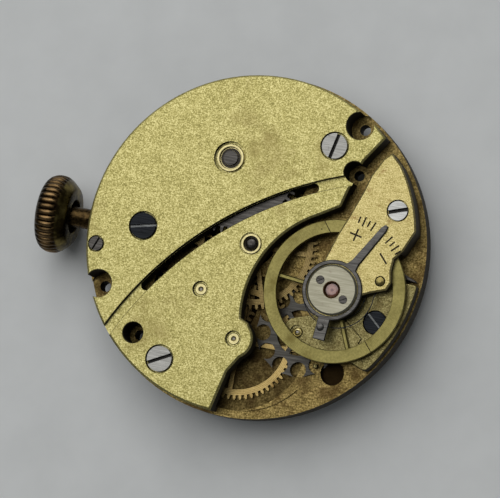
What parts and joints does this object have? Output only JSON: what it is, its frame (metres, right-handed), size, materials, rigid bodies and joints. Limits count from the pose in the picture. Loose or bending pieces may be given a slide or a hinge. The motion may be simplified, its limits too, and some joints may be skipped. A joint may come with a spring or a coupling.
{
  "type": "watch movement",
  "caption": "Round hand-wound watch movement with a three-quarter bridge, cylinder escapement, balance under a cock, regulator, winding crown and keyless work.",
  "frame": {"origin": "on the centre arbor's axis, in the plane of the face that the dial lies against", "axes": "+Z from the dial side to the bridges, -X towards the winding crown, +X the long way of the object"},
  "size_m": [0.0303, 0.026, 0.0062],
  "materials": {
    "gilt_bridge": "matt gilding, pale",
    "gilt_plate": "matt gilding, darker",
    "gilt_cock": "brushed gilding",
    "wheel_brass": "polished brass",
    "steel": "polished steel",
    "grey_steel": "grained steel",
    "blued_steel": "blued steel",
    "bronze": "dark worn bronze",
    "ruby": "polished pink stone"
  },
  "bodies": {
    "plates": {"mainplate": "gilt_plate", "three_quarter_bridge": "gilt_bridge", "balance_cock": "gilt_cock", "escape_cock": "gilt_cock", "pivot_bushes": "wheel_brass", "bridge_screws": "steel", "crown_wheel_screw": "blued_steel", "crown_wheel_core": "steel", "setting_lever_screw": "grey_steel", "balance_cock_screw": "steel", "escape_cock_screw": "blued_steel", "cap_plate": "grey_steel", "cap_screws": "steel", "cap_jewel": "ruby", "hole_jewels": "ruby", "hairspring_stud": "steel", "hairspring": "grey_steel", "click_spring": "steel", "yoke_spring": "steel", "setting_cover": "steel", "cover_screws": "steel"},
    "fourth": {"fourth_wheel": "wheel_brass", "fourth_pinion": "steel"},
    "third": {"third_wheel": "wheel_brass", "third_pinion": "steel"},
    "centre": {"centre_wheel": "wheel_brass", "centre_pinion": "steel"},
    "barrel": {"barrel_drum": "wheel_brass", "barrel_cover": "wheel_brass", "mainspring": "steel"},
    "escape": {"escape_wheel": "steel", "escape_pinion": "steel"},
    "cannon": {"cannon_pinion": "steel"},
    "minute_wheel": {"minute_wheel": "wheel_brass"},
    "hour": {"hour_wheel": "wheel_brass"},
    "setting_wheel": {"setting_wheel": "steel"},
    "winding_pinion": {"winding_pinion": "steel"},
    "crown_wheel": {"crown_wheel": "steel"},
    "arbor": {"barrel_arbor": "steel", "ratchet_wheel": "steel"},
    "stem": {"winding_stem": "steel", "crown": "bronze"},
    "sliding_pinion": {"sliding_pinion": "steel"},
    "setting_lever": {"setting_lever": "steel"},
    "yoke": {"yoke": "steel"},
    "click": {"click": "steel"},
    "balance": {"balance_wheel": "gilt_cock", "balance_cylinder": "steel", "hairspring_collet": "wheel_brass"},
    "regulator": {"regulator_index": "grey_steel", "regulator_pins": "wheel_brass"}
  },
  "joints": [
    {"name": "fourth_turn", "type": "hinge", "parent": "plates", "child": "fourth", "pos_m": [0, -0.00722, 0], "axis": [0, 0, 1], "continuous": true},
    {"name": "third_turn", "type": "hinge", "parent": "plates", "child": "third", "pos_m": [-0.00319, -0.00398, 0], "axis": [0, 0, 1], "continuous": true},
    {"name": "centre_turn", "type": "hinge", "parent": "plates", "child": "centre", "pos_m": [0, 0, 0], "axis": [0, 0, 1], "continuous": true},
    {"name": "barrel_turn", "type": "hinge", "parent": "plates", "child": "barrel", "pos_m": [-0.00283, 0.00615, 0], "axis": [0, 0, 1], "continuous": true},
    {"name": "escape_turn", "type": "hinge", "parent": "plates", "child": "escape", "pos_m": [0.00449, -0.00585, 0], "axis": [0, 0, 1], "continuous": true},
    {"name": "cannon_turn", "type": "hinge", "parent": "plates", "child": "cannon", "pos_m": [0, 0, 0], "axis": [0, 0, 1], "continuous": true},
    {"name": "minute_wheel_turn", "type": "hinge", "parent": "plates", "child": "minute_wheel", "pos_m": [-0.0023, -0.0012, 0], "axis": [0, 0, 1], "continuous": true},
    {"name": "hour_turn", "type": "hinge", "parent": "plates", "child": "hour", "pos_m": [0, 0, 0], "axis": [0, 0, 1], "continuous": true},
    {"name": "setting_wheel_turn", "type": "hinge", "parent": "plates", "child": "setting_wheel", "pos_m": [-0.00634, 0, 0], "axis": [0, 0, 1], "continuous": true},
    {"name": "crown_turn", "type": "hinge", "parent": "plates", "child": "winding_pinion", "pos_m": [-0.0114, 0, 0.0014], "axis": [1, 0, 0], "continuous": true},
    {"name": "crown_wheel_turn", "type": "hinge", "parent": "plates", "child": "crown_wheel", "pos_m": [-0.00849, 0, 0], "axis": [0, 0, 1], "continuous": true},
    {"name": "ratchet_turn", "type": "hinge", "parent": "plates", "child": "arbor", "pos_m": [-0.00283, 0.00615, 0], "axis": [0, 0, 1], "continuous": true},
    {"name": "crown_pull", "type": "slide", "parent": "winding_pinion", "child": "stem", "axis": [-1, 0, 0], "range_m": [0, 0.00045]},
    {"name": "clutch_slide", "type": "slide", "parent": "winding_pinion", "child": "sliding_pinion", "axis": [1, 0, 0], "range_m": [0, 0.000621]},
    {"name": "setting_lever_turn", "type": "hinge", "parent": "plates", "child": "setting_lever", "pos_m": [-0.01186, -0.00192, 0], "axis": [0, 0, 1], "range_deg": [0, 13.9]},
    {"name": "yoke_turn", "type": "hinge", "parent": "plates", "child": "yoke", "pos_m": [-0.00975, -0.00335, 0], "axis": [0, 0, 1], "range_deg": [-14.3, 0]},
    {"name": "click_turn", "type": "hinge", "parent": "plates", "child": "click", "pos_m": [0.00417, 0.00615, 0], "axis": [0, 0, 1], "range_deg": [0, 6], "stiffness_Nm_per_rad": 0.00001, "springref_deg": -11.46},
    {"name": "balance_swing", "type": "hinge", "parent": "plates", "child": "balance", "pos_m": [0.00684, -0.00245, 0], "axis": [0, 0, 1], "range_deg": [-90, 90], "stiffness_Nm_per_rad": 0.0000007},
    {"name": "regulator_swing", "type": "hinge", "parent": "plates", "child": "regulator", "pos_m": [0.00684, -0.00245, 0], "axis": [0, 0, 1], "range_deg": [-15, 15]}
  ],
  "couplings": [
    {"joint": "third_turn", "follows": "fourth_turn", "ratio": -0.16667},
    {"joint": "centre_turn", "follows": "fourth_turn", "ratio": 0.016667},
    {"joint": "barrel_turn", "follows": "fourth_turn", "ratio": -0.0033333},
    {"joint": "escape_turn", "follows": "fourth_turn", "ratio": -10},
    {"joint": "cannon_turn", "follows": "fourth_turn", "ratio": 0.016667},
    {"joint": "minute_wheel_turn", "follows": "fourth_turn", "ratio": -0.0055556},
    {"joint": "hour_turn", "follows": "fourth_turn", "ratio": 0.0013889},
    {"joint": "setting_wheel_turn", "follows": "fourth_turn", "ratio": 0.0047619},
    {"joint": "crown_wheel_turn", "follows": "crown_turn", "ratio": 0.34375},
    {"joint": "ratchet_turn", "follows": "crown_turn", "ratio": -0.18966},
    {"joint": "clutch_slide", "follows": "crown_pull", "ratio": 1.3778},
    {"joint": "setting_lever_turn", "follows": "crown_pull", "rad_per_m": 538.22},
    {"joint": "yoke_turn", "follows": "crown_pull", "rad_per_m": -554.32}
  ]
}
